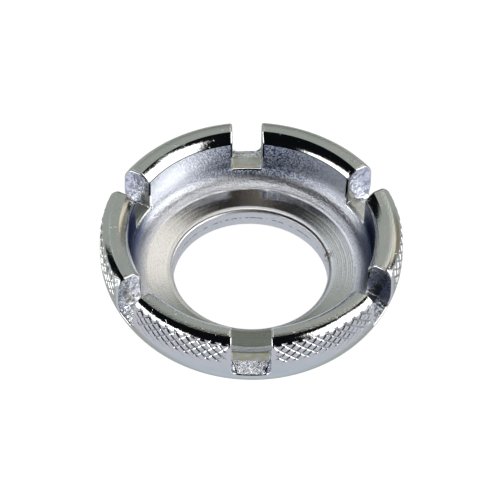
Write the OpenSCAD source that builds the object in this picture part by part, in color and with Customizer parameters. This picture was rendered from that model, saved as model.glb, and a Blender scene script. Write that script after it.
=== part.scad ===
// Round spoke wrench: a plated steel ring with six graduated nipple slots.
// The bore axis is +Z, the ring stands on z = 0, and the widest slot faces -Y.

/* [Ring] */
// Outside diameter over the grip
outer_d = 40; // [38:0.5:46]
// Height of the whole ring
height = 10.6; // [10.2:0.1:12]
// Diameter of the hole through the middle
bore_d = 20.4; // [18:0.1:21.5]
// Broken edge where the bore meets the underside
bore_break = 0.25; // [0.1:0.05:0.5]

/* [Grip] */
// Radius of the rounded lower outside, seen in section
belly_r = 9; // [8.5:0.1:9.6]
// Height at which the rounded outside becomes upright
belly_h = 6.9; // [6.5:0.1:7.3]

/* [Crown] */
// Radius of the rolled outer edge of the crown, seen in section
crown_r = 2.3; // [1.8:0.1:2.5]
// Slope in degrees at which the outer edge leaves the flat
crown_tilt = 30; // [20:1:40]
// Width of the flat on top of the crown
land_w = 1.35; // [1:0.05:1.8]
// Width of the rounded inner bevel
bevel_w = 1.25; // [0.8:0.05:1.5]
// Slope in degrees of the inner bevel where it meets the flat
bevel_tilt_top = 30; // [20:1:38]
// Slope in degrees of the inner bevel where it meets the bowl wall
bevel_tilt_foot = 50; // [42:1:60]

/* [Bowl] */
// How far the bowl wall leans in towards its foot
bowl_lean = 0.15; // [0:0.05:0.4]
// Radius of the fillet between the bowl wall and the floor
bowl_fillet_r = 2.2; // [1.5:0.1:2.6]
// Height of the bowl floor at the fillet
floor_h = 3.15; // [2.9:0.05:3.5]
// Slope in degrees of the floor, down towards the bore
floor_tilt = 5; // [2:1:8]
// Radius of the lip where the floor rolls over into the bore
lip_r = 0.7; // [0.4:0.1:1]

/* [Slots] */
// Width of the widest slot, at the front, for 10 gauge nipples
slot_w_10 = 5.2; // [4.9:0.05:5.4]
// Width of the slot for 11 gauge nipples
slot_w_11 = 4.9; // [4.5:0.05:5.1]
// Width of the slot for 12 gauge nipples
slot_w_12 = 4.35; // [4.1:0.05:4.7]
// Width of the slot for 13 gauge nipples
slot_w_13 = 3.95; // [3.8:0.05:4.2]
// Width of the slot for 14 gauge nipples
slot_w_14 = 3.9; // [3.5:0.05:4]
// Width of the slot for 15 gauge nipples
slot_w_15 = 3.75; // [3.3:0.05:3.9]
// Height of the slot floors above the underside
slot_floor_h = 4.8; // [4.4:0.1:5.2]
// Breadth of the level inner part of a slot floor, from the bowl wall outwards
slot_level_w = 1.8; // [1:0.1:2.2]
// Radius of the bottom corners of a slot's outer mouth
slot_corner_r = 1; // [0.4:0.1:1.2]

/* [Slot ramps] */
// Slope in degrees of the outer part of the 10 gauge slot's floor
slot_tilt_10 = 40; // [30:1:45]
// The same slope in the 11 gauge slot
slot_tilt_11 = 32; // [20:1:40]
// The same slope in the 12 gauge slot
slot_tilt_12 = 24; // [15:1:35]
// The same slope in the 13 gauge slot
slot_tilt_13 = 14; // [8:1:25]
// The same slope in the 14 gauge slot
slot_tilt_14 = 12; // [8:1:25]
// The same slope in the 15 gauge slot
slot_tilt_15 = 10; // [6:1:25]

/* [Slot spacing] */
// Degrees by which the 11 gauge slot lies past its even place
slot_off_11 = 1.5; // [-1:0.1:4]
// Degrees by which the 12 gauge slot lies past its even place
slot_off_12 = 0.8; // [-1:0.1:4]
// Degrees by which the 13 gauge slot lies past its even place
slot_off_13 = 1.9; // [-1:0.1:4]
// Degrees by which the 14 gauge slot lies past its even place
slot_off_14 = 3.1; // [-1:0.1:4]
// Degrees by which the 15 gauge slot lies past its even place
slot_off_15 = 3.3; // [-1:0.1:4]

/* [Hidden] */
$fn = 96;
over = 1;

outer_r = outer_d / 2;
bore_r = bore_d / 2;

// Each slot's width, ramp slope and turn past an even place, anticlockwise from the front
slots = [
    [slot_w_10, slot_tilt_10, 0],
    [slot_w_11, slot_tilt_11, slot_off_11],
    [slot_w_12, slot_tilt_12, slot_off_12],
    [slot_w_13, slot_tilt_13, slot_off_13],
    [slot_w_14, slot_tilt_14, slot_off_14],
    [slot_w_15, slot_tilt_15, slot_off_15]
];
slot_step = 360 / len(slots);

// The rounded outside starts where it leaves the flat underside
belly_sweep = asin(belly_h / belly_r);

// Crown, from the outside inwards
land_out_r = outer_r - crown_r * (1 - sin(crown_tilt));
land_in_r = land_out_r - land_w;
crown_mid_h = height - crown_r * cos(crown_tilt);
bevel_r = bevel_w / (sin(bevel_tilt_foot) - sin(bevel_tilt_top));
bevel_mid_r = land_in_r + bevel_r * sin(bevel_tilt_top);
bevel_mid_h = height - bevel_r * cos(bevel_tilt_top);

// Bowl, from the foot of its wall down to the bore
bowl_foot_r = land_in_r - bevel_w - bowl_lean;
fillet_mid_r = bowl_foot_r - bowl_fillet_r;
fillet_mid_h = floor_h + bowl_fillet_r * cos(floor_tilt);
lip_mid_r = bore_r + lip_r;
floor_run = fillet_mid_r - lip_mid_r + (bowl_fillet_r + lip_r) * sin(floor_tilt);
lip_mid_h = floor_h - floor_run * tan(floor_tilt) - lip_r * cos(floor_tilt);

// Points along an arc about mid; angles are counted from +r towards +z
function arc(mid, r, from, to, steps) = [
    for (i = [0:steps]) let (a = from + (to - from) * i / steps)
        mid + r * [cos(a), sin(a)]
];

// Section of the ring, anticlockwise from the underside of the bore
section = concat(
    [[bore_r + bore_break, 0]],
    arc([outer_r - belly_r, belly_h], belly_r, -belly_sweep, 0, 14),
    arc([outer_r - crown_r, crown_mid_h], crown_r, 0, 90 - crown_tilt, 8),
    arc([bevel_mid_r, bevel_mid_h], bevel_r, 90 + bevel_tilt_top, 90 + bevel_tilt_foot, 5),
    arc([fillet_mid_r, fillet_mid_h], bowl_fillet_r, 0, floor_tilt - 90, 8),
    arc([lip_mid_r, lip_mid_h], lip_r, 90 + floor_tilt, 180, 6),
    [[bore_r, bore_break]]
);

module turned_blank() {
    rotate_extrude() polygon(section);
}

// Outline of a slot's mouth, w wide, with round bottom corners
module slot_mouth(w) {
    corner_x = w / 2 - slot_corner_r;
    translate([-w / 2, slot_corner_r]) square([w, height]);
    translate([-corner_x, 0]) square([2 * corner_x, height]);
    for (side = [-1, 1])
        translate([side * corner_x, slot_corner_r]) circle(slot_corner_r);
}

// What the cutter takes out along +X for a slot w wide, whose ramp falls at a slope of tilt
module slot_cut(w, tilt) {
    translate([fillet_mid_r, -w / 2, slot_floor_h])
        cube([outer_r + over - fillet_mid_r, w, height + over - slot_floor_h]);
    translate([bowl_foot_r + slot_level_w, 0, slot_floor_h])
        rotate([0, tilt, 0])
            rotate([90, 0, 90])
                linear_extrude(outer_r) slot_mouth(w);
}

module wrench_ring() {
    color("silver")
        difference() {
            turned_blank();
            for (i = [0:len(slots) - 1])
                rotate(i * slot_step - 90 + slots[i][2])
                    slot_cut(slots[i][0], slots[i][1]);
        }
}

wrench_ring();
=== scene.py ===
# Round spoke wrench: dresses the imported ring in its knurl, milled slots and bright nickel plate
import math
import bmesh
import bpy
from mathutils import Matrix, Vector


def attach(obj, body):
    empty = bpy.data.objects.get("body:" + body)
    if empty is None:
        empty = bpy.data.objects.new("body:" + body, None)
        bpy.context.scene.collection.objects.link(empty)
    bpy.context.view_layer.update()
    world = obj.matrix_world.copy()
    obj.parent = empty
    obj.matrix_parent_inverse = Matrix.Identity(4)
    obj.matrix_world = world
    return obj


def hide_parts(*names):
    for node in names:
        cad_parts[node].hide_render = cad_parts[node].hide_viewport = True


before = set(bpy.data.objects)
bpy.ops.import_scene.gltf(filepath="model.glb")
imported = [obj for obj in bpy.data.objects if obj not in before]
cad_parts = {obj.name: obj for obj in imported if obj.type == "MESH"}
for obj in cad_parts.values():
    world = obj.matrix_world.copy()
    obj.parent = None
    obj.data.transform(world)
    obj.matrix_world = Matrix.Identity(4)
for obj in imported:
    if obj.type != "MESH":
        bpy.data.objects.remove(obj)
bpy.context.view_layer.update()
print("frame loaded:", len(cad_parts), "node")

millimetre = 0.001
scene = bpy.context.scene

# Ring: lengths in millimetres, slopes and angles in degrees

ring = {
    "outerRadius": 20.0,
    "height": 10.6,
    "boreRadius": 10.2,
    "boreBreak": 0.25,      # broken edge at the underside of the bore
    "bellyRadius": 9.0,     # rounded lower outside
    "bellyHeight": 6.9,
    "crownRadius": 2.3,     # rolled outer edge of the crown
    "crownTilt": 30.0,
    "landWidth": 1.35,      # flat on top of the crown
    "landWear": 0.03,       # how far its outer part is worn down
    "wornShare": 0.6,       # of its width
    "bevelWidth": 1.25,     # rounded inner bevel
    "bevelTiltTop": 30.0,
    "bevelTiltFoot": 60.0,
    "bowlLean": 0.15,
    "filletRadius": 2.2,
    "floorHeight": 3.15,    # at its outer edge, from which it falls to the lip
    "floorTilt": 5.0,
    "lipRadius": 0.7,
    "sharpAngle": 28.0,     # steeper edges of the mesh than this are shaded as corners
}

slots = {
    "widths": [5.2, 4.9, 4.35, 3.95, 3.9, 3.75],    # anticlockwise from the front
    "offsets": [0.0, 1.5, 0.8, 1.9, 3.1, 3.3],      # degrees past the even place
    "rampTilts": [40.0, 32.0, 24.0, 14.0, 12.0, 10.0],
    "floorHeight": 4.8,     # level inner part of the floor
    "levelWidth": 1.8,
    "mouthCorner": 1.0,     # bottom corners at the outer mouth
    "bowlCorner": 0.12,     # bottom corners at the bowl
    "edgeRound": 0.26,      # tumbled edge where a slot breaks the surface
    "rampShare": 0.47,      # share of the way across the wall at which the ramp ends
}

knurl = {
    "grooves": 84,          # each way round
    "lead": 43.0,           # slope of the grooves from the horizontal
    "foot": 6.4,            # height at which the band starts
    "footGrip": 0.45,       # share of the depth left there; it runs out at the slot mouths
    "footRows": 5,          # mesh rows over which it would grow from nothing to full depth
    "topGrip": 0.75,        # share of the depth left in the top row
    "topRows": 4,
    "halfWidth": 0.18,      # of a groove
    "depth": 0.27,
    "meshShare": 0.3,       # part of the depth that is moved in the mesh; the plate's bump does the rest
    "unevenRange": (0.35, 0.65),    # of a noise, between which the rolling goes from shallow to full
    "shallow": 0.7,
}

counts = {
    "perGroove": 8,         # mesh columns and rows in one groove spacing
    "knurl": 19,            # rows of a jaw's outside, over the knurl
    "corner": 4,            # rows round a slot's bottom corner, and then round its edge
    "edge": 4,
    "bellyAbove": 6,        # rows from the slot mouths up to the knurl
    "crown": 5,
    "ramp": 8,              # columns across the wall on a slot's ramp, and then on its level floor
    "level": 10,
    "bellyBelow": 16,       # rows from the slot mouths down, and then on round the body to the bowl
    "base": 5,
    "boreWall": 3,
    "lip": 8,
    "floor": 10,
    "fillet": 7,
    "edgeFade": 12,         # columns over which a jaw's mesh takes up its slot's edge
    "bodyFade": 8,          # rows over which the lower body does the same
    "mouthSteps": 12,       # tries in finding where a ramp breaks out
    "mergeDigits": 5,       # decimals of a millimetre to which two points are one
}


def sinDeg(angle):
    return math.sin(math.radians(angle))


def cosDeg(angle):
    return math.cos(math.radians(angle))


def asinDeg(value):
    return math.degrees(math.asin(value))


def mix(a, b, share):
    return a + (b - a) * share


landOuter = ring["outerRadius"] - ring["crownRadius"] * (1 - sinDeg(ring["crownTilt"]))
landInner = landOuter - ring["landWidth"]
crownMid = (ring["outerRadius"] - ring["crownRadius"],
            ring["height"] - ring["crownRadius"] * cosDeg(ring["crownTilt"]))
bellyMid = (ring["outerRadius"] - ring["bellyRadius"], ring["bellyHeight"])
bevelRadius = ring["bevelWidth"] / (sinDeg(ring["bevelTiltFoot"]) - sinDeg(ring["bevelTiltTop"]))
bevelMid = (landInner + bevelRadius * sinDeg(ring["bevelTiltTop"]),
            ring["height"] - bevelRadius * cosDeg(ring["bevelTiltTop"]))
wallTop = (landInner - ring["bevelWidth"], bevelMid[1] + bevelRadius * cosDeg(ring["bevelTiltFoot"]))
filletMid = (wallTop[0] - ring["bowlLean"] - ring["filletRadius"],
             ring["floorHeight"] + ring["filletRadius"] * cosDeg(ring["floorTilt"]))
floorRun = (filletMid[0] - ring["boreRadius"] - ring["lipRadius"]
            + (ring["filletRadius"] + ring["lipRadius"]) * sinDeg(ring["floorTilt"]))
lipMid = (ring["boreRadius"] + ring["lipRadius"],
          ring["floorHeight"] - floorRun * math.tan(math.radians(ring["floorTilt"]))
          - ring["lipRadius"] * cosDeg(ring["floorTilt"]))

pitch = 2 * math.pi * ring["outerRadius"] / knurl["grooves"]
rise = pitch * math.tan(math.radians(knurl["lead"]))    # height of one diamond
columnCount = knurl["grooves"] * counts["perGroove"]
columnStep = 2 * math.pi / columnCount


# A point of the section is (radius, height, outward normal's radius, outward normal's height)

def onArc(mid, radius, angle, hollow=False):
    side = -1 if hollow else 1
    c, s = cosDeg(angle), sinDeg(angle)
    return (mid[0] + radius * c, mid[1] + radius * s, side * c, side * s)


def onLine(start, end, share):
    dr, dz = end[0] - start[0], end[1] - start[1]
    length = math.hypot(dr, dz)
    return (start[0] + dr * share, start[1] + dz * share, dz / length, -dr / length)


def outerPoint(z):
    if z > crownMid[1]:
        return onArc(crownMid, ring["crownRadius"], asinDeg((z - crownMid[1]) / ring["crownRadius"]))
    if z < bellyMid[1]:
        return onArc(bellyMid, ring["bellyRadius"], asinDeg((z - bellyMid[1]) / ring["bellyRadius"]))
    return (ring["outerRadius"], z, 1.0, 0.0)


def innerPoint(z):
    if z < filletMid[1]:
        angle = asinDeg((z - filletMid[1]) / ring["filletRadius"])
        return onArc(filletMid, ring["filletRadius"], angle, hollow=True)
    foot = (filletMid[0] + ring["filletRadius"], filletMid[1])
    return onLine(wallTop, foot, (wallTop[1] - z) / (wallTop[1] - foot[1]))


def climbOf(z):
    # length walked up the outside, from the height at which it becomes upright
    if z < bellyMid[1]:
        return ring["bellyRadius"] * math.asin((z - bellyMid[1]) / ring["bellyRadius"])
    if z > crownMid[1]:
        past = ring["crownRadius"] * math.asin((z - crownMid[1]) / ring["crownRadius"])
        return crownMid[1] - bellyMid[1] + past
    return z - bellyMid[1]


def outerAt(climb):
    upright = crownMid[1] - bellyMid[1]
    if climb > upright:
        return onArc(crownMid, ring["crownRadius"], math.degrees((climb - upright) / ring["crownRadius"]))
    if climb < 0:
        return onArc(bellyMid, ring["bellyRadius"], math.degrees(climb / ring["bellyRadius"]))
    return (ring["outerRadius"], bellyMid[1] + climb, 1.0, 0.0)


def slotMouth(tilt):
    # height at which a slot's ramp breaks out of the side, found by walking down the ramp
    levelEnd = innerPoint(slots["floorHeight"])[0] + slots["levelWidth"]
    height = slots["floorHeight"]
    for _ in range(counts["mouthSteps"]):
        height = slots["floorHeight"] - (outerPoint(height)[0] - levelEnd) * math.tan(math.radians(tilt))
    return height


def sideRow(point, grip=0.0):
    # a row whose ends stand on the upright slot walls
    return {"at": lambda mouth: point, "turnIn": 0.0, "across": 1.0, "down": 0.0, "grip": grip, "find": None}


def mouthRow(share):
    # a row between the slot mouths and the foot of the knurl
    def at(mouth):
        return outerAt(mix(climbOf(mouth + slots["mouthCorner"]), climbOf(knurl["foot"]), share))
    return dict(sideRow(None, knurl["footGrip"] * share), at=at)


def cornerRows(find, corner, floorOf):
    # rows whose ends follow a slot's round bottom corner, from its floor up to its wall
    made = []
    for i in range(counts["corner"] + 1):
        angle = 90.0 * i / counts["corner"] - 90
        climb = corner + (corner + slots["edgeRound"]) * sinDeg(angle)
        made.append({"at": lambda mouth, climb=climb: find(floorOf(mouth) + climb), "grip": 0.0, "find": find,
                     "turnIn": corner * (1 - cosDeg(angle)), "across": cosDeg(angle), "down": sinDeg(angle)})
    return made


def jawRows():
    # from the slot mouths up the outside, over the crown and down into the bowl
    outside = cornerRows(outerPoint, slots["mouthCorner"], lambda mouth: mouth)
    outside += [mouthRow(i / counts["bellyAbove"]) for i in range(1, counts["bellyAbove"] + 1)]
    foot = climbOf(knurl["foot"])
    for i in range(1, counts["knurl"] + 1):
        climb = foot + i * rise / counts["perGroove"]
        fade = min(1.0, knurl["footGrip"] + i / knurl["footRows"],
                   knurl["topGrip"] + (counts["knurl"] - i) / knurl["topRows"])
        outside.append(sideRow(outerAt(climb), fade))
    top = crownMid[1] - bellyMid[1] + ring["crownRadius"] * math.radians(90 - ring["crownTilt"])
    for i in range(1, counts["crown"] + 1):
        r, z, nr, nz = outerAt(mix(climb, top, i / counts["crown"]))
        outside.append(sideRow((r, z - ring["landWear"] * i / counts["crown"], nr, nz)))

    inside = cornerRows(innerPoint, slots["bowlCorner"], lambda mouth: slots["floorHeight"])
    low = slots["floorHeight"] + slots["bowlCorner"]
    wallCount = len(outside) - len(inside) - counts["crown"]
    for i in range(1, wallCount + 1):
        inside.append(sideRow(innerPoint(mix(low, wallTop[1], i / wallCount))))
    for i in range(1, counts["crown"] + 1):
        tilt = mix(ring["bevelTiltFoot"], ring["bevelTiltTop"], i / counts["crown"])
        inside.append(sideRow(onArc(bevelMid, bevelRadius, 90 + tilt)))

    land = []
    for share in shares[1:-1]:
        worn = ring["landWear"] * max(0.0, 1 - share / ring["wornShare"]) ** 2
        land.append(sideRow((mix(landOuter, landInner, share), ring["height"] - worn, 0.0, 1.0)))
    return outside, land, inside


def bodyRows():
    # from the slot mouths down the outside, under the ring, up the bore and across the bowl
    low = -asinDeg(bellyMid[1] / ring["bellyRadius"])

    def bellyRow(share):
        def at(mouth):
            topZ = mouth - slots["edgeRound"]
            high = asinDeg((topZ - bellyMid[1]) / ring["bellyRadius"])
            return onArc(bellyMid, ring["bellyRadius"], mix(high, low, share))
        return at

    made = [bellyRow(i / counts["bellyBelow"]) for i in range(counts["bellyBelow"] + 1)]
    baseOuter = (made[-1](0)[0], 0.0)
    baseInner = (ring["boreRadius"] + ring["boreBreak"], 0.0)
    boreFoot = (ring["boreRadius"], ring["boreBreak"])
    boreTop = (ring["boreRadius"], lipMid[1])
    fixed = [onLine(baseOuter, baseInner, i / counts["base"]) for i in range(1, counts["base"] + 1)]
    fixed += [onLine(boreFoot, boreTop, i / counts["boreWall"]) for i in range(counts["boreWall"] + 1)]
    lipEnd = 90 + ring["floorTilt"]
    fixed += [onArc(lipMid, ring["lipRadius"], mix(180, lipEnd, i / counts["lip"]))
              for i in range(1, counts["lip"] + 1)]
    floorStart = fixed[-1][:2]
    floorEnd = onArc(filletMid, ring["filletRadius"], ring["floorTilt"] - 90)[:2]
    fixed += [onLine(floorStart, floorEnd, i / counts["floor"]) for i in range(1, counts["floor"] + 1)]
    bowlZ = slots["floorHeight"] - slots["edgeRound"]
    first = ring["floorTilt"] - 90
    last = asinDeg((bowlZ - filletMid[1]) / ring["filletRadius"])
    fixed += [onArc(filletMid, ring["filletRadius"], mix(first, last, i / counts["fillet"]), hollow=True)
              for i in range(1, counts["fillet"] + 1)]
    return made + [lambda mouth, point=point: point for point in fixed]


# Mesh of the whole ring, in millimetres until it is handed over

zones = ["plate", "slotWall", "bowl", "ramp", "slotFloor"]


class RingMesh:
    def __init__(self):
        self.places = {}
        self.points = []
        self.climb = []
        self.grip = []
        self.faces = []
        self.zones = []

    def point(self, x, y, z, climb=0.0, grip=0.0):
        key = tuple(round(c, counts["mergeDigits"]) for c in (x, y, z))
        if key not in self.places:
            self.places[key] = len(self.points)
            self.points.append((x, y, z))
            self.climb.append(climb)
            self.grip.append(grip)
        return self.places[key]

    def sheet(self, grid, zone, closed=False):
        # joins a grid of point numbers with four-sided faces
        for lower, upper in zip(grid, grid[1:]):
            last = len(lower) if closed else len(lower) - 1
            for k in range(last):
                corners = [lower[k], lower[(k + 1) % len(lower)], upper[(k + 1) % len(upper)], upper[k]]
                kept = list(dict.fromkeys(corners))
                if len(kept) > 2:
                    self.faces.append(kept)
                    self.zones.append(zones.index(zone))


shares = [slots["rampShare"] * i / counts["ramp"] for i in range(counts["ramp"])]
shares += [mix(slots["rampShare"], 1, i / counts["level"]) for i in range(counts["level"] + 1)]

outside, land, inside = jawRows()
path = outside + land + inside[::-1]
body = bodyRows()

slotCount = len(slots["widths"])
slotStep = 2 * math.pi / slotCount
front = -math.pi / 2
slotAngles = [front + slotStep * i + math.radians(slots["offsets"][i]) for i in range(slotCount)]
slotMouths = [slotMouth(tilt) for tilt in slots["rampTilts"]]
slotFirst, slotLast = [], []    # first and last mesh column of each slot's mouth
for angle, width in zip(slotAngles, slots["widths"]):
    spread = math.asin((width / 2 + slots["edgeRound"]) / ring["outerRadius"])
    slotFirst.append(math.floor((angle - spread) / columnStep))
    slotLast.append(math.ceil((angle + spread) / columnStep))


def halfWidth(row, width, lift=1.0):
    return width / 2 - row["turnIn"] + slots["edgeRound"] * lift * row["across"]


def jawColumns(jaw, row):
    # columns of a jaw, from one slot's edge to the next slot's: number, mouth height, angle and how far it is
    # clear of the slots
    after = (jaw + 1) % slotCount
    turn = 2 * math.pi if after == 0 else 0.0
    first = slotLast[jaw]
    last = slotFirst[after] + (columnCount if after == 0 else 0)
    startWidth = halfWidth(row, slots["widths"][jaw]) / row["at"](slotMouths[jaw])[0]
    endWidth = halfWidth(row, slots["widths"][after]) / row["at"](slotMouths[after])[0]
    startShift = slotAngles[jaw] + math.asin(startWidth) - first * columnStep
    endShift = slotAngles[after] + turn - math.asin(endWidth) - last * columnStep
    made = []
    for k in range(first, last + 1):
        nearStart = max(0.0, 1 - (k - first) / counts["edgeFade"]) ** 2
        nearEnd = max(0.0, 1 - (last - k) / counts["edgeFade"]) ** 2
        share = (k - first) / (last - first)
        mouth = mix(slotMouths[jaw], slotMouths[after], share * share * (3 - 2 * share))
        made.append((k, mouth, k * columnStep + startShift * nearStart + endShift * nearEnd,
                     1 - max(nearStart, nearEnd) ** 2))
    return made


def edgePoint(row, slot, side, turn, across=None):
    # point of the rounded edge, from the ring's surface (turn 0) to the slot's wall (turn 90)
    lift = 1 - sinDeg(turn)
    depth = slots["edgeRound"] * (1 - cosDeg(turn))
    v = side * halfWidth(row, slots["widths"][slot], lift) if across is None else across
    r, z, nr, nz = row["at"](slotMouths[slot])
    if row["find"]:
        r, z, nr, nz = row["find"](z - slots["edgeRound"] * (1 - lift) * row["down"])
    return (math.sqrt(r * r - v * v) - nr * depth, v, z - nz * depth)


def placed(mesh, slot, place):
    # turns a point from the slot's own frame, which looks outwards, to the ring's
    c, s = math.cos(slotAngles[slot]), math.sin(slotAngles[slot])
    x, v, z = place
    return mesh.point(x * c - v * s, x * s + v * c, z)


def addJaws(mesh):
    for jaw in range(slotCount):
        grid = []
        for i, row in enumerate(path):
            line = []
            for k, mouth, angle, clear in jawColumns(jaw, row):
                r, z = row["at"](mouth)[:2]
                x, y = r * math.cos(angle), r * math.sin(angle)
                climb = climbOf(z) if i < len(outside) else 0.0
                line.append(mesh.point(x, y, z, climb, row["grip"] * clear))
            grid.append(line)
        crease = len(outside) + len(land) + counts["crown"]
        mesh.sheet(grid[:crease + 1], "plate")
        mesh.sheet(grid[crease:], "bowl")


def addSlot(mesh, slot):
    width = slots["widths"][slot]
    columns = slotLast[slot] - slotFirst[slot]
    turns = [90 * q / counts["edge"] for q in range(counts["edge"] + 1)]
    edges = {}
    for side in (-1, 1):
        strips = [[edgePoint(row, slot, side, turn) for turn in turns] for row in path]
        mesh.sheet([[placed(mesh, slot, p) for p in strip] for strip in strips], "plate")
        edges[side] = [strip[-1] for strip in strips]

    # where the floor lies and how round its corners are, across the wall from the mouth to the bowl
    levels = []
    for share in shares:
        onRamp = min(1.0, share / slots["rampShare"])
        levels.append((share, mix(slotMouths[slot], slots["floorHeight"], onRamp),
                       mix(slots["mouthCorner"], slots["bowlCorner"], onRamp)))

    last = len(path) - 1
    corners = counts["corner"]
    for side in (-1, 1):
        grid = []
        for i in range(len(outside)):
            start, end = edges[side][i], edges[side][last - i]
            line = []
            for j, (share, floorZ, corner) in enumerate(levels):
                x = mix(start[0], end[0], share)
                if share in (0, 1):
                    place = start if share == 0 else end
                elif i <= corners:
                    angle = 90.0 * i / corners - 90
                    across = width / 2 - corner * (1 - cosDeg(angle))
                    place = (x, side * across, floorZ + corner * (1 + sinDeg(angle)))
                elif i == len(outside) - 1:
                    place = edges[side][i + j]
                else:
                    foot = mix(edges[side][corners][2], edges[side][last - corners][2], share)
                    fade = (1 - (i - corners) / (len(outside) - 1 - corners)) ** 2
                    z = mix(start[2], end[2], share) + (floorZ + corner - foot) * fade
                    place = (x, side * width / 2, z)
                line.append(placed(mesh, slot, place))
            grid.append(line)
        mesh.sheet(grid, "slotWall")

    # floor, with its rounded edges at the mouth and at the bowl
    ends = []
    for row, corner in ((outside[0], slots["mouthCorner"]), (inside[0], slots["bowlCorner"])):
        reach = width / 2 - corner
        acrosses = [mix(-reach, reach, c / columns) for c in range(columns + 1)]
        strips = [[edgePoint(row, slot, 1, turn, across) for across in acrosses] for turn in turns]
        mesh.sheet([[placed(mesh, slot, p) for p in strip] for strip in strips], "plate")
        ends.append(strips[-1])
    grid = []
    for share, floorZ, corner in levels:
        reach = width / 2 - corner
        line = []
        for c in range(columns + 1):
            start, end = ends[0][c], ends[1][c]
            place = (mix(start[0], end[0], share), mix(-reach, reach, c / columns), floorZ)
            if share in (0, 1):
                place = start if share == 0 else end
            line.append(placed(mesh, slot, place))
        grid.append(line)
    mesh.sheet(grid[:counts["ramp"] + 1], "ramp")
    mesh.sheet(grid[counts["ramp"]:], "slotFloor")


def mouthColumns(row, corner):
    # angle and mouth height of every column where the lower body meets the jaws and the slot floors
    found = {}
    for jaw in range(slotCount):
        for k, mouth, angle, _ in jawColumns(jaw, row):
            found[k % columnCount] = (angle - 2 * math.pi * (k // columnCount), mouth)
    for slot, width in enumerate(slots["widths"]):
        columns = slotLast[slot] - slotFirst[slot]
        reach = width / 2 - corner
        radius = row["at"](slotMouths[slot])[0]
        for c in range(columns + 1):
            k = slotFirst[slot] + c
            angle = slotAngles[slot] + math.asin(mix(-reach, reach, c / columns) / radius)
            found[k % columnCount] = (angle - 2 * math.pi * (k // columnCount), slotMouths[slot])
    return found


def addBody(mesh):
    atMouth = mouthColumns(outside[0], slots["mouthCorner"])
    atBowl = mouthColumns(inside[0], slots["bowlCorner"])
    grid = []
    end = len(body) - 1
    for i, at in enumerate(body):
        nearMouth = max(0.0, 1 - i / counts["bodyFade"]) ** 2
        nearBowl = max(0.0, 1 - (end - i) / counts["bodyFade"]) ** 2
        line = []
        for k in range(columnCount):
            even = k * columnStep
            angle = even + (atMouth[k][0] - even) * nearMouth + (atBowl[k][0] - even) * nearBowl
            r, z = at(atMouth[k][1])[:2]
            line.append(mesh.point(r * math.cos(angle), r * math.sin(angle), z))
        grid.append(line)
    outsideEnd = counts["bellyBelow"] + counts["base"] + 1
    mesh.sheet(grid[:outsideEnd + 1], "plate", closed=True)
    mesh.sheet(grid[outsideEnd:], "bowl", closed=True)


def buildRing():
    mesh = RingMesh()
    addJaws(mesh)
    for slot in range(slotCount):
        addSlot(mesh, slot)
    addBody(mesh)
    data = bpy.data.meshes.new("plated_ring")
    data.from_pydata([[c * millimetre for c in p] for p in mesh.points], [], mesh.faces)
    for name, values in (("climb", mesh.climb), ("grip", mesh.grip)):
        data.attributes.new(name, "FLOAT", "POINT").data.foreach_set("value", values)
    data.attributes.new("zone", "INT", "FACE").data.foreach_set("value", mesh.zones)
    work = bmesh.new()
    work.from_mesh(data)
    bmesh.ops.recalc_face_normals(work, faces=work.faces)
    openEdges = [edge for edge in work.edges if len(edge.link_faces) != 2]
    print("ring mesh:", len(work.faces), "faces,", len(openEdges), "open edges")
    work.to_mesh(data)
    work.free()
    data.shade_smooth()
    made = bpy.data.objects.new("plated_ring", data)
    scene.collection.objects.link(made)
    return made


# Nodes, colours

def addNode(tree, kind, *values, links=None, **settings):
    # adds a node with its settings, and sets or joins its inputs by place or by name
    node = tree.nodes.new(kind)
    for name, value in settings.items():
        setattr(node, name, value)
    for key, value in [*enumerate(values), *(links or {}).items()]:
        if isinstance(value, bpy.types.Node):
            value = value.outputs[0]
        if isinstance(value, bpy.types.NodeSocket):
            tree.links.new(value, node.inputs[key])
        elif value is not None:
            node.inputs[key].default_value = value
    return node


def colour(hexCode):
    # sRGB hex to linear, with full alpha
    parts = [int(hexCode[i:i + 2], 16) / 255 for i in (1, 3, 5)]
    return [c / 12.92 if c <= 0.04045 else ((c + 0.055) / 1.055) ** 2.4 for c in parts] + [1.0]


# Knurl, rolled into the plain mesh by Geometry Nodes and sharpened by the plate's bump

marks = {
    "Grooves": knurl["grooves"],
    "Rise": rise,                                       # millimetres, height of one diamond
    "Spacing": pitch * sinDeg(knurl["lead"]),           # square across the grooves
    "Half width": knurl["halfWidth"],
    "Depth": knurl["depth"] * knurl["meshShare"] * millimetre,
    "Weaker way": 0.8,                                  # depth of the grooves that climb the other way
    "Patch scale": 1 / (2.5 * millimetre),              # how quickly the rolling grows shallow and deep
    "Seed": 7.0,
}


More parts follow.
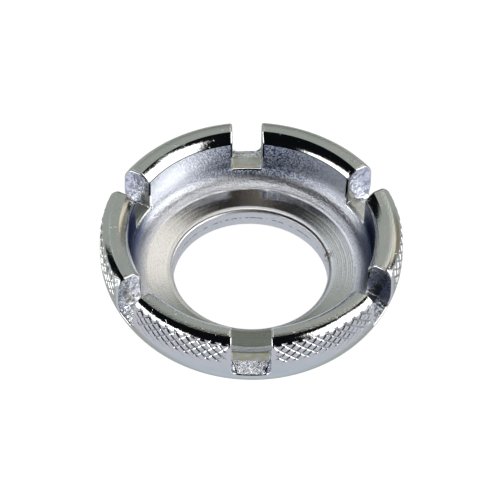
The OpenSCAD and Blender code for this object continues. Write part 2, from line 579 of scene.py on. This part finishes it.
def rolledShare(tree, place, climb, grip, given):
    # how deep two crossing families of V grooves cut, as a share of the full depth
    xyz = addNode(tree, "ShaderNodeSeparateXYZ", place)
    around = addNode(tree, "ShaderNodeMath", xyz.outputs[1], xyz.outputs[0], operation="ARCTAN2")
    share = addNode(tree, "ShaderNodeMath", around, 2 * math.pi, operation="DIVIDE")
    turns = addNode(tree, "ShaderNodeMath", share, given["Grooves"], operation="MULTIPLY")
    steps = addNode(tree, "ShaderNodeMath", climb, given["Rise"], operation="DIVIDE")
    cuts = []
    for way in ("ADD", "SUBTRACT"):
        phase = addNode(tree, "ShaderNodeMath", turns, steps, operation=way)
        nearest = addNode(tree, "ShaderNodeMath", phase, 0.5, operation="PINGPONG")
        away = addNode(tree, "ShaderNodeMath", nearest, given["Spacing"], operation="MULTIPLY")
        across = addNode(tree, "ShaderNodeMath", away, given["Half width"], operation="DIVIDE")
        cuts.append(addNode(tree, "ShaderNodeMath", 1.0, across, operation="SUBTRACT", use_clamp=True))
    weaker = addNode(tree, "ShaderNodeMath", cuts[1], given["Weaker way"], operation="MULTIPLY")
    deepest = addNode(tree, "ShaderNodeMath", cuts[0], weaker, operation="MAXIMUM")
    patches = addNode(tree, "ShaderNodeTexNoise", noise_dimensions="4D",
                      links={"Vector": place, "Scale": given["Patch scale"], "W": given["Seed"]})
    patchy = addNode(tree, "ShaderNodeMapRange", patches.outputs[0], *knurl["unevenRange"],
                     knurl["shallow"], 1.0)
    even = addNode(tree, "ShaderNodeMath", deepest, grip, operation="MULTIPLY")
    return addNode(tree, "ShaderNodeMath", even, patchy, operation="MULTIPLY")


def marksTree(finishes):
    tree = bpy.data.node_groups.new("Rolled knurl", "GeometryNodeTree")
    tree.interface.new_socket("Geometry", in_out="INPUT", socket_type="NodeSocketGeometry")
    tree.interface.new_socket("Geometry", in_out="OUTPUT", socket_type="NodeSocketGeometry")
    names = {}
    for name, value in marks.items():
        socketType = "NodeSocketInt" if isinstance(value, int) else "NodeSocketFloat"
        names[name] = tree.interface.new_socket(name, in_out="INPUT", socket_type=socketType).identifier
    given = addNode(tree, "NodeGroupInput").outputs
    position = addNode(tree, "GeometryNodeInputPosition")
    normal = addNode(tree, "GeometryNodeInputNormal")
    climb = addNode(tree, "GeometryNodeInputNamedAttribute", "climb", data_type="FLOAT")
    grip = addNode(tree, "GeometryNodeInputNamedAttribute", "grip", data_type="FLOAT")
    zone = addNode(tree, "GeometryNodeInputNamedAttribute", "zone", data_type="INT")

    rolled = rolledShare(tree, position, climb, grip, given)
    sunk = addNode(tree, "ShaderNodeMath", rolled, given["Depth"], operation="MULTIPLY")

    outward = addNode(tree, "ShaderNodeMath", sunk, -1.0, operation="MULTIPLY")
    shift = addNode(tree, "ShaderNodeVectorMath", normal, links={"Scale": outward}, operation="SCALE")
    shape = addNode(tree, "GeometryNodeSetPosition", given["Geometry"], links={"Offset": shift})
    for number, finish in enumerate(finishes):
        here = addNode(tree, "FunctionNodeCompare", links={2: zone, 3: number}, data_type="INT",
                       operation="EQUAL")
        shape = addNode(tree, "GeometryNodeSetMaterial", shape, here, finish)
    real = addNode(tree, "GeometryNodeRealizeInstances", shape)
    addNode(tree, "NodeGroupOutput", real)
    return tree, names


def markRing(piece, finishes):
    tree, names = marksTree(finishes)
    modifier = piece.modifiers.new("marks", "NODES")
    modifier.node_group = tree
    for name, value in marks.items():
        modifier[names[name]] = value
    graph = bpy.context.evaluated_depsgraph_get()
    marked = bpy.data.meshes.new_from_object(piece.evaluated_get(graph), preserve_all_data_layers=True,
                                             depsgraph=graph)
    piece.modifiers.clear()
    piece.data = marked
    marked.name = "plated_ring"
    marked.set_sharp_from_angle(angle=math.radians(ring["sharpAngle"]))


# Finishes. A pattern is given as the real size of its features in millimetres and its detail, and a range as
# the part of its noise over which it goes from none to all. One pixel of the photograph is 0.13 mm, so pits,
# flecks, scratches and grain, which are finer on the real ring, are drawn at about 0.2 mm, where they show

plate = {
    "colours": ("#dce0db", "#e4e2df"),
    "roughness": 0.08,
    "blotches": (3.0, 2.0),
    "blotchRange": (0.35, 0.65),
    "pits": (0.22, 3.0),
    "pitDepth": 0.012,
    "dust": (0.6, 2.0),
    "dustRange": (0.67, 0.74),
    "dustDepth": 0.014,
    "grooveShadeRange": (0.3, 0.9),       # share of a groove's depth over which the painted shade sets in
    "grooveShade": 0.45,                  # the painted shade's share of the colour at its bottom
    "grooveShadeColour": "#3a3a44",
    "creaseShadeWidth": (0.1, 0.05),     # of the line of painted shade where the bevel meets the bowl, and of its core
    "creaseShadeColour": "#14141a",
}

slotWall = {
    "colours": ("#b4b7c4", "#eef1f8"),
    "roughness": 0.1,
    "lumps": (0.6, 3.0),
    "lumpRange": (0.42, 0.55),
    "lumpDepth": 0.15,
}

ramp = {
    "colours": ("#d8dadb", "#f4f5f6"),
    "roughness": 0.05,
    "lumps": (0.65, 3.0),
    "lumpRange": (0.42, 0.55),
    "lumpDepth": 1.0,
}

slotFloor = {
    "colours": ("#d3cfb9", "#e0e3e1"),
    "roughness": 0.28,
    "blotches": (1.2, 2.0),
    "blotchRange": (0.4, 0.6),
    "scratches": (0.2, 3.0),
    "scratchDepth": 0.008,
}

turned = {
    "floorColours": ("#ecebea", "#dddcda"),     # clean, and of its flecks
    "filletColours": ("#ebecf0", "#cbccd4"),
    # the wall's second colour is painted shade, in specks that gather at the rear
    "wallColours": ("#f4f8ff", "#5d6a94"),
    "floorRoughness": 0.07,
    "lipRoughness": 0.32,
    "filletRoughness": 0.3,
    "wallRoughness": 0.27,
    "lipEnd": (0.0, 0.25),          # millimetres past the lip's edge, where the burnished floor begins
    "filletStart": (-0.2, 0.1),     # these four are past the floor's edge
    "filletTint": (-0.8, 0.8),
    "wallStart": (1.5, 2.0),
    "darkReflectionStart": (0.0, 1.5),
    "flecks": (0.24, 2.0),
    "fleckRange": (0.48, 0.66),
    "wallFleckRange": (0.42, 0.58),
    "patches": (3.0, 1.0),          # in which the floor's flecks gather
    "patchRange": (0.35, 0.65),
    "patchLeast": 0.15,             # share of the flecks' strength between the patches
    "across": 0.85,                 # how much the lathe's marks spread a light across them
    "lines": (0.2, 2.0),
    "lineDepth": 0.005,
    "grain": (0.24, 3.0),
    "grainDepth": 0.09,
    "floorGrain": 0.05,             # share of the grain that the burnished floor keeps
}

toolMarks = {
    "stepInside": 0.08,             # of the broken line where the floor's cut stopped, from the floor's edge
    "stepWidth": 0.18,
    "stepRange": (0.44, 0.52),      # of the patches, where the line shows
    "stepColour": "#4a4644",
    "chatterHeight": 1.5,           # of the broken line that the boring tool left in the bore
    "chatterWidth": 0.13,
    "chatter": (0.45, 1.0),
    "chatterRange": (0.46, 0.54),
    "chatterReach": 0.05,           # past the bore's radius, so that the line stays off the lip
    "chatterColour": "#3f4450",
}

# Spots in millimetres, of rust and of painted shade and painted reflection: each sets in at its first radius
# and is full at its second, and the shares are what it covers outside the one and inside the other
# painted shade: where the bowl's wall gets its dark specks, and the floor's edge its broken line
rearShade = {"middles": [(1.5, 16.2, 6.5)], "radii": (11.0, 3.3), "shares": (0.1, 1.0)}
# painted shade: a navy patch in the slot at the right front, on its walls, ramp and floor
slotShade = {"middles": [(17.6, -7.6, 7.4)], "radii": (4.6, 2.2), "shares": (0.0, 0.85), "colour": "#3a4663"}
# painted reflection: navy patches on both sides of the bowl's wall, with a navy tint of their mirror
wallDarkReflection = {"middles": [(-15.4, 2.0, 5.0), (15.4, 1.2, 5.0)], "radii": (8.0, 3.2), "shares": (0.0, 0.9),
           "colour": "#46506e",
           "edgeColour": "#3c4a78"}     # painted reflection: the mirror's tint seen along the wall, where clean metal turns white
rustSpot = {"middles": [(10.1, 2.6, 2.6)], "radii": (1.1, 0.0), "shares": (0.0, 1.0), "colour": "#6a5433"}


def newMetal(name, hexCode, roughness):
    # a bare metal, its node tree and the place on the piece that its patterns follow
    material = bpy.data.materials.new(name)
    material.use_nodes = True
    tree = material.node_tree
    shader = tree.nodes["Principled BSDF"]
    shader.inputs["Base Color"].default_value = colour(hexCode)
    shader.inputs["Metallic"].default_value = 1.0
    shader.inputs["Roughness"].default_value = roughness
    return material, tree, addNode(tree, "ShaderNodeTexCoord").outputs["Object"]


def joinShader(tree, parts):
    for name, socket in parts.items():
        tree.links.new(socket, tree.nodes["Principled BSDF"].inputs[name])


def scaled(pattern):
    # scale and detail of a noise texture
    size, detail = pattern
    return 1 / (size * millimetre), detail


def pastEdge(edge, distances):
    return [(edge + distance) * millimetre for distance in distances]


def radiusOf(tree, place):
    flat = addNode(tree, "ShaderNodeVectorMath", place, (1.0, 1.0, 0.0), operation="MULTIPLY")
    return addNode(tree, "ShaderNodeVectorMath", flat, operation="LENGTH").outputs["Value"]


def painted(tree, base, *coats):
    # a base colour under coats, each with the share of the surface that it covers
    for share, coat in coats:
        under, over = (colour(c) if isinstance(c, str) else c for c in (base, coat))
        mixed = addNode(tree, "ShaderNodeMix", data_type="RGBA", links={0: share, 6: under, 7: over})
        base = mixed.outputs[2]
    return base


def relief(tree, *layers):
    # bumps laid one on another, each with its depth in millimetres
    under = None
    for height, depth in layers:
        under = addNode(tree, "ShaderNodeBump",
                        links={"Height": height, "Distance": depth * millimetre, "Normal": under})
    return under.outputs[0]


def rustAndShadeShare(tree, place, rustAndShade, fade="LINEAR"):
    # where any of its spots lies
    most = None
    for middle in rustAndShade["middles"]:
        away = addNode(tree, "ShaderNodeVectorMath", place, [c * millimetre for c in middle],
                       operation="DISTANCE").outputs["Value"]
        spot = addNode(tree, "ShaderNodeMapRange", away, *pastEdge(0, rustAndShade["radii"]), *rustAndShade["shares"],
                       interpolation_type=fade)
        most = addNode(tree, "ShaderNodeMath", spot, most, operation="MAXIMUM") if most else spot
    return most


def lineShare(tree, value, middle, width):
    # 1 where a value is the middle one and 0 from a width away, both in millimetres
    off = addNode(tree, "ShaderNodeMath", value, middle * millimetre, operation="SUBTRACT")
    beside = addNode(tree, "ShaderNodeMath", off, operation="ABSOLUTE")
    return addNode(tree, "ShaderNodeMapRange", beside, 0.0, width * millimetre, 1.0, 0.0)


def brightNickel():
    # nickel plate over polished steel: a sharp mirror, a little yellow in patches, with tiny pits from the
    # bath, dust caught under the plate, and painted shade in the grooves and in the crease above the bowl
    material, tree, place = newMetal("bright_nickel_plate", plate["colours"][0], plate["roughness"])
    blotches, pits, dust = (addNode(tree, "ShaderNodeTexNoise", place, None, *scaled(plate[key]))
                            for key in ("blotches", "pits", "dust"))
    yellow = addNode(tree, "ShaderNodeMapRange", blotches, *plate["blotchRange"])
    specks = addNode(tree, "ShaderNodeMapRange", dust, *plate["dustRange"])
    climb, grip = (addNode(tree, "ShaderNodeAttribute", attribute_name=name).outputs["Fac"]
                   for name in ("climb", "grip"))
    rolled = rolledShare(tree, place, climb, grip, marks)
    upward = addNode(tree, "ShaderNodeMath", 1.0, rolled, operation="SUBTRACT")
    # painted shade: darker towards the bottom of each knurl groove
    grooveShade = addNode(tree, "ShaderNodeMapRange", rolled, *plate["grooveShadeRange"], 0.0, plate["grooveShade"])

    # painted shade: a dark line along the crease where the bevel meets the bowl
    height = addNode(tree, "ShaderNodeSeparateXYZ", place).outputs[2]
    inward = addNode(tree, "ShaderNodeMath", radiusOf(tree, place), wallTop[0] * millimetre,
                     operation="SUBTRACT")
    near = addNode(tree, "ShaderNodeMapRange", inward, *pastEdge(0, plate["creaseShadeWidth"]))
    above = addNode(tree, "ShaderNodeMath", height, bellyMid[1] * millimetre, operation="GREATER_THAN")
    crease = addNode(tree, "ShaderNodeMath", near, above, operation="MULTIPLY")
    joinShader(tree, {
        "Base Color": painted(tree, plate["colours"][0], (yellow, plate["colours"][1]),
                              (grooveShade, plate["grooveShadeColour"]), (crease, plate["creaseShadeColour"])),
        "Normal": relief(tree, (specks, plate["dustDepth"]), (pits, plate["pitDepth"]),
                         (upward, knurl["depth"] * (1 - knurl["meshShare"]))),
    })
    return material


def lumpyNickel(name, finish):
    # nickel over milled and tumbled steel: a lumpy mirror that breaks the studio into flecks
    material, tree, place = newMetal(name, finish["colours"][0], finish["roughness"])
    lumps = addNode(tree, "ShaderNodeTexNoise", place, None, *scaled(finish["lumps"]))
    raised = addNode(tree, "ShaderNodeMapRange", lumps, *finish["lumpRange"])
    # painted shade in the slot at the right front
    slotShadeShare = rustAndShadeShare(tree, place, slotShade)
    joinShader(tree, {
        "Base Color": painted(tree, finish["colours"][0], (raised, finish["colours"][1]),
                              (slotShadeShare, slotShade["colour"])),
        "Normal": relief(tree, (lumps, finish["lumpDepth"])),
    })
    return material


def scrapedNickel():
    # the level slot floors, where nipples have scraped the plate thin: yellower and duller
    finish = slotFloor
    material, tree, place = newMetal("scraped_nickel_plate", finish["colours"][0], finish["roughness"])
    blotches, scratches = (addNode(tree, "ShaderNodeTexNoise", place, None, *scaled(finish[key]))
                           for key in ("blotches", "scratches"))
    worn = addNode(tree, "ShaderNodeMapRange", blotches, *finish["blotchRange"])
    # painted shade in the slot at the right front
    slotShadeShare = rustAndShadeShare(tree, place, slotShade)
    joinShader(tree, {
        "Base Color": painted(tree, finish["colours"][0], (worn, finish["colours"][1]),
                              (slotShadeShare, slotShade["colour"])),
        "Normal": relief(tree, (scratches, finish["scratchDepth"])),
    })
    return material


def turnedColour(tree, place, radius, onWall):
    # sand on the floor, grain on the fillet, and a bluish wall with dark specks of painted shade, gathered at
    # the rear
    flecks, patches = (addNode(tree, "ShaderNodeTexNoise", place, None, *scaled(turned[key]))
                       for key in ("flecks", "patches"))
    grain = addNode(tree, "ShaderNodeMapRange", flecks, *turned["fleckRange"])
    patchy = addNode(tree, "ShaderNodeMapRange", patches, *turned["patchRange"], turned["patchLeast"], 1.0)
    sand = addNode(tree, "ShaderNodeMath", grain, patchy, operation="MULTIPLY")
    rearShadeShare = rustAndShadeShare(tree, place, rearShade)
    specks = addNode(tree, "ShaderNodeMapRange", flecks, *turned["wallFleckRange"])
    shadedSpecks = addNode(tree, "ShaderNodeMath", specks, rearShadeShare, operation="MULTIPLY")
    floorTint, filletTint, wallTint = (
        painted(tree, turned[key][0], (share, turned[key][1]))
        for key, share in (("floorColours", sand), ("filletColours", grain), ("wallColours", shadedSpecks)))
    onFillet = addNode(tree, "ShaderNodeMapRange", radius, *pastEdge(filletMid[0], turned["filletTint"]))
    # the broken line at the floor's edge shows only where the rear's painted shade lies
    onStep = lineShare(tree, radius, filletMid[0] - toolMarks["stepInside"], toolMarks["stepWidth"])
    dashes = addNode(tree, "ShaderNodeMapRange", patches, *toolMarks["stepRange"])
    dashed = addNode(tree, "ShaderNodeMath", onStep, dashes, operation="MULTIPLY")
    step = addNode(tree, "ShaderNodeMath", dashed, rearShadeShare, operation="MULTIPLY")
    return painted(tree, floorTint, (onFillet, filletTint), (step, toolMarks["stepColour"]),
                   (onWall, wallTint))


def boreCoats(tree, place, radius):
    # the line of chatter round the bore, and one small rust spot on its lip
    chatter = addNode(tree, "ShaderNodeTexNoise", place, None, *scaled(toolMarks["chatter"]))
    broken = addNode(tree, "ShaderNodeMapRange", chatter, *toolMarks["chatterRange"])
    height = addNode(tree, "ShaderNodeSeparateXYZ", place).outputs[2]
    allRound = lineShare(tree, height, toolMarks["chatterHeight"], toolMarks["chatterWidth"])
    reach = (ring["boreRadius"] + toolMarks["chatterReach"]) * millimetre
    inBore = addNode(tree, "ShaderNodeMath", radius, reach, operation="LESS_THAN")
    line = addNode(tree, "ShaderNodeMath", allRound, inBore, operation="MULTIPLY")
    rust = rustAndShadeShare(tree, place, rustSpot)
    return [(addNode(tree, "ShaderNodeMath", share, broken, operation="MULTIPLY"), coat)
            for share, coat in ((line, toolMarks["chatterColour"]), (rust, rustSpot["colour"]))]


def turnedNickel():
    # nickel over a turned bowl: burnished round the bore, satin further out and grainy up the wall, with the
    # lathe's marks running round it, which spread each light across them
    material, tree, place = newMetal("plated_turned_steel", turned["floorColours"][0],
                                     turned["floorRoughness"])
    radius = radiusOf(tree, place)
    onFillet, onWall = (addNode(tree, "ShaderNodeMapRange", radius, *pastEdge(filletMid[0], turned[key]))
                        for key in ("filletStart", "wallStart"))
    burnished = addNode(tree, "ShaderNodeMapRange", radius, *pastEdge(lipMid[0], turned["lipEnd"]),
                        turned["lipRoughness"], turned["floorRoughness"])
    satin = addNode(tree, "ShaderNodeMapRange", onFillet, 0.0, 1.0, burnished, turned["filletRoughness"])
    rough = addNode(tree, "ShaderNodeMapRange", onWall, 0.0, 1.0, satin, turned["wallRoughness"])

    lineScale, lineDetail = scaled(turned["lines"])
    lines = addNode(tree, "ShaderNodeTexNoise", noise_dimensions="1D",
                    links={"W": radius, "Scale": lineScale, "Detail": lineDetail})
    grain = addNode(tree, "ShaderNodeTexNoise", place, None, *scaled(turned["grain"]))
    kept = addNode(tree, "ShaderNodeMapRange", onFillet, 0.0, 1.0, turned["floorGrain"], 1.0)
    weighed = addNode(tree, "ShaderNodeMath", grain, kept, operation="MULTIPLY")

    # painted reflection: the wall's sides get a navy colour and a navy mirror tint
    wallDarkSpots = rustAndShadeShare(tree, place, wallDarkReflection, "SMOOTHSTEP")
    offFloor = addNode(tree, "ShaderNodeMapRange", radius, *pastEdge(filletMid[0], turned["darkReflectionStart"]))
    darkReflectionShare = addNode(tree, "ShaderNodeMath", wallDarkSpots, offFloor, operation="MULTIPLY")
    clean = turnedColour(tree, place, radius, onWall)
    joinShader(tree, {
        "Base Color": painted(tree, clean, (darkReflectionShare, wallDarkReflection["colour"]), *boreCoats(tree, place, radius)),
        "Specular Tint": painted(tree, "#ffffff", (darkReflectionShare, wallDarkReflection["edgeColour"])),
        "Roughness": rough.outputs[0],
        "Normal": relief(tree, (lines, turned["lineDepth"]), (weighed, turned["grainDepth"])),
        "Tangent": addNode(tree, "ShaderNodeTangent", direction_type="RADIAL", axis="Z").outputs[0],
    })
    tree.nodes["Principled BSDF"].inputs["Anisotropic"].default_value = turned["across"]
    return material


# Studio: camera, walls and cards that the metal mirrors, floor

camera = {
    "elevation": 48.7,
    "azimuth": -0.95,       # the camera stands a little to the left of the widest slot
    "roll": 1.3,
    "distance": 2.0,        # metres; a long lens from far off
    "pixelsPerMetre": 7560.0,
    "imageSize": 500,
    "originPixel": (250.43, 282.95),    # where the bore's axis meets the underside, in the photograph
    "sensor": 36.0,
    "nearest": 0.05,        # metres, and so is the farthest that it sees
    "farthest": 20.0,
}


def addCamera():
    data = bpy.data.cameras.new("camera")
    made = bpy.data.objects.new("camera", data)
    scene.collection.objects.link(made)
    scene.camera = made
    turn, lift, roll = (math.radians(camera[key]) for key in ("azimuth", "elevation", "roll"))
    right = Vector((math.cos(turn), math.sin(turn), 0))
    back = Vector((math.sin(turn) * math.cos(lift), -math.cos(turn) * math.cos(lift), math.sin(lift)))
    up = back.cross(right)
    right, up = right * math.cos(roll) + up * math.sin(roll), up * math.cos(roll) - right * math.sin(roll)
    middle = camera["imageSize"] / 2
    px, py = camera["originPixel"]
    aim = right * (middle - px) / camera["pixelsPerMetre"] + up * (py - middle) / camera["pixelsPerMetre"]
    made.matrix_world = (Matrix.Translation(aim + back * camera["distance"])
                         @ Matrix((right, up, back)).transposed().to_4x4())
    data.sensor_width = camera["sensor"]
    data.lens = camera["pixelsPerMetre"] * camera["distance"] * camera["sensor"] / camera["imageSize"]
    data.clip_start, data.clip_end = camera["nearest"], camera["farthest"]


# Cards stand round the ring as the metal sees them. Each has its azimuth from the camera's side, right being
# positive, and its height above the horizon, both from and to in degrees, the width of its soft edge in
# either, its colour and its strength. A later card covers the earlier ones
wallColour = "#a6aba8"      # where no card stands
cards = {
    "table": ((-118, 118), (-100, -1), (20, 5), "#cdcfdd", 1.0),
    "near table": ((-200, 200), (-100, -69), (1, 24), "#c3cbda", 1.0),
    "black screen": ((-123, 118), (-1, 72), (3, 4), "#0a0d10", 1.0),
    "left window": ((-100, -43), (-3, 20), (10, 4), "#ffffff", 3.6),
    "right window": ((44, 82), (-3, 45), (10, 4), "#ffffff", 2.7),
    "far window": ((74, 109), (-3, 34), (6, 4), "#ffffff", 2.7),
    "softbox": ((-200, 200), (75.5, 100), (1, 3), "#ffffff", 2.8),
    "rear softbox": ((110, 250), (68, 100), (8, 5), "#ffffff", 1.2),
    "wooden shelf": ((120, 140), (-14, 14), (8, 8), "#8a8478", 1.0),
    "warm lamp": ((112, 172), (45, 66), (8, 4), "#f6f3ee", 1.1),
    "warm strip": ((116, 150), (16, 24), (8, 4), "#f1e6d3", 1.1),
    "warm streak": ((138, 166), (30, 47), (10, 6), "#d8d2c6", 1.0),
    "door": ((166, 194), (12, 42), (8, 6), "#6c726a", 1.0),
    "cool lamp": ((192, 240), (45, 66), (6, 4), "#eaf1ff", 1.2),
    "rear curtain": ((168, 192), (54, 82), (4, 3), "#050506", 1.0),
    "gap in the curtain": ((178.8, 181.2), (54, 76), (2, 3), "#8a847c", 1.0),
}


def addStudio():
    world = bpy.data.worlds.new("studio")
    world.use_nodes = True
    scene.world = world
    tree = world.node_tree
    tree.nodes.clear()
    place = addNode(tree, "ShaderNodeTexCoord").outputs["Generated"]
    xyz = addNode(tree, "ShaderNodeSeparateXYZ", place)
    frontward = addNode(tree, "ShaderNodeMath", xyz.outputs[1], -1.0, operation="MULTIPLY")
    azimuthRad = addNode(tree, "ShaderNodeMath", xyz.outputs[0], frontward, operation="ARCTAN2")
    azimuth = addNode(tree, "ShaderNodeMath", azimuthRad, operation="DEGREES")
    heightRad = addNode(tree, "ShaderNodeMath", xyz.outputs[2], operation="ARCSINE")
    height = addNode(tree, "ShaderNodeMath", heightRad, operation="DEGREES")
    shown = addNode(tree, "ShaderNodeRGB")
    shown.outputs[0].default_value = colour(wallColour)
    behind = addNode(tree, "ShaderNodeMath", azimuth, 360.0, 0.0, operation="WRAP")
    for azimuths, heights, soft, hexCode, strength in cards.values():
        mask = 1.0
        bearing = behind if azimuths[0] > 0 and azimuths[1] > 180 else azimuth
        for value, (low, high), edge in ((bearing, azimuths, soft[0]), (height, heights, soft[1])):
            rising = addNode(tree, "ShaderNodeMapRange", value, low - edge / 2, low + edge / 2,
                             interpolation_type="SMOOTHSTEP")
            falling = addNode(tree, "ShaderNodeMapRange", value, high - edge / 2, high + edge / 2, 1.0, 0.0,
                              interpolation_type="SMOOTHSTEP")
            within = addNode(tree, "ShaderNodeMath", rising, falling, operation="MULTIPLY")
            mask = addNode(tree, "ShaderNodeMath", within, mask, operation="MULTIPLY")
        paint = [c * strength for c in colour(hexCode)[:3]] + [1.0]
        mixed = addNode(tree, "ShaderNodeMix", data_type="RGBA", links={0: mask, 6: shown, 7: paint})
        shown = mixed.outputs[2]
    light = addNode(tree, "ShaderNodeBackground", shown, 1.0)
    addNode(tree, "ShaderNodeOutputWorld", light)


floor = {
    "radius": 1.5,          # metres
    "sides": 64,
    "below": 0.05,          # millimetres under the ring, so that the two faces don't meet
    "ownLight": 0.97,       # part of the white that isn't dimmed by the ring's shadow
    "colour": "#626262",
    "shadeRadius": 10.1,    # millimetres; the ring keeps most light off the paper inside its bore
    "shadeColour": "#c4c9d3",
}


def addFloor():
    # the camera sees white paper; the metal mirrors the table of the studio instead
    data = bpy.data.meshes.new("floor")
    work = bmesh.new()
    bmesh.ops.create_circle(work, cap_ends=True, segments=floor["sides"], radius=floor["radius"])
    bmesh.ops.translate(work, vec=(0, 0, -floor["below"] * millimetre), verts=work.verts)
    work.to_mesh(data)
    work.free()
    made = bpy.data.objects.new("floor", data)
    scene.collection.objects.link(made)
    material = bpy.data.materials.new("white_studio_paper")
    material.use_nodes = True
    tree = material.node_tree
    tree.nodes.clear()
    glow = addNode(tree, "ShaderNodeEmission", colour("#ffffff"), floor["ownLight"])
    paper = addNode(tree, "ShaderNodeBsdfDiffuse", colour(floor["colour"]))
    both = addNode(tree, "ShaderNodeAddShader", glow, paper)
    nothing = addNode(tree, "ShaderNodeBsdfTransparent")
    place = addNode(tree, "ShaderNodeTexCoord").outputs["Object"]
    radius = addNode(tree, "ShaderNodeVectorMath", place, operation="LENGTH").outputs["Value"]
    inBore = addNode(tree, "ShaderNodeMath", radius, floor["shadeRadius"] * millimetre, operation="LESS_THAN")
    shade = addNode(tree, "ShaderNodeEmission", colour(floor["shadeColour"]), 1.0)
    mirrored = addNode(tree, "ShaderNodeMixShader", inBore, nothing, shade)
    seen = addNode(tree, "ShaderNodeLightPath").outputs["Is Camera Ray"]
    shown = addNode(tree, "ShaderNodeMixShader", seen, mirrored, both)
    addNode(tree, "ShaderNodeOutputMaterial", shown)
    data.materials.append(material)


addCamera()
addStudio()
addFloor()
scene.view_settings.view_transform = "Standard"
print("studio ready")

plated = buildRing()
finishes = {
    "plate": brightNickel(),
    "slotWall": lumpyNickel("plated_milled_steel", slotWall),
    "bowl": turnedNickel(),
    "ramp": lumpyNickel("plated_rough_steel", ramp),
    "slotFloor": scrapedNickel(),
}
markRing(plated, [finishes[zone] for zone in zones])
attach(plated, "root")
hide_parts("wrench_ring")
print("ring marked and plated")
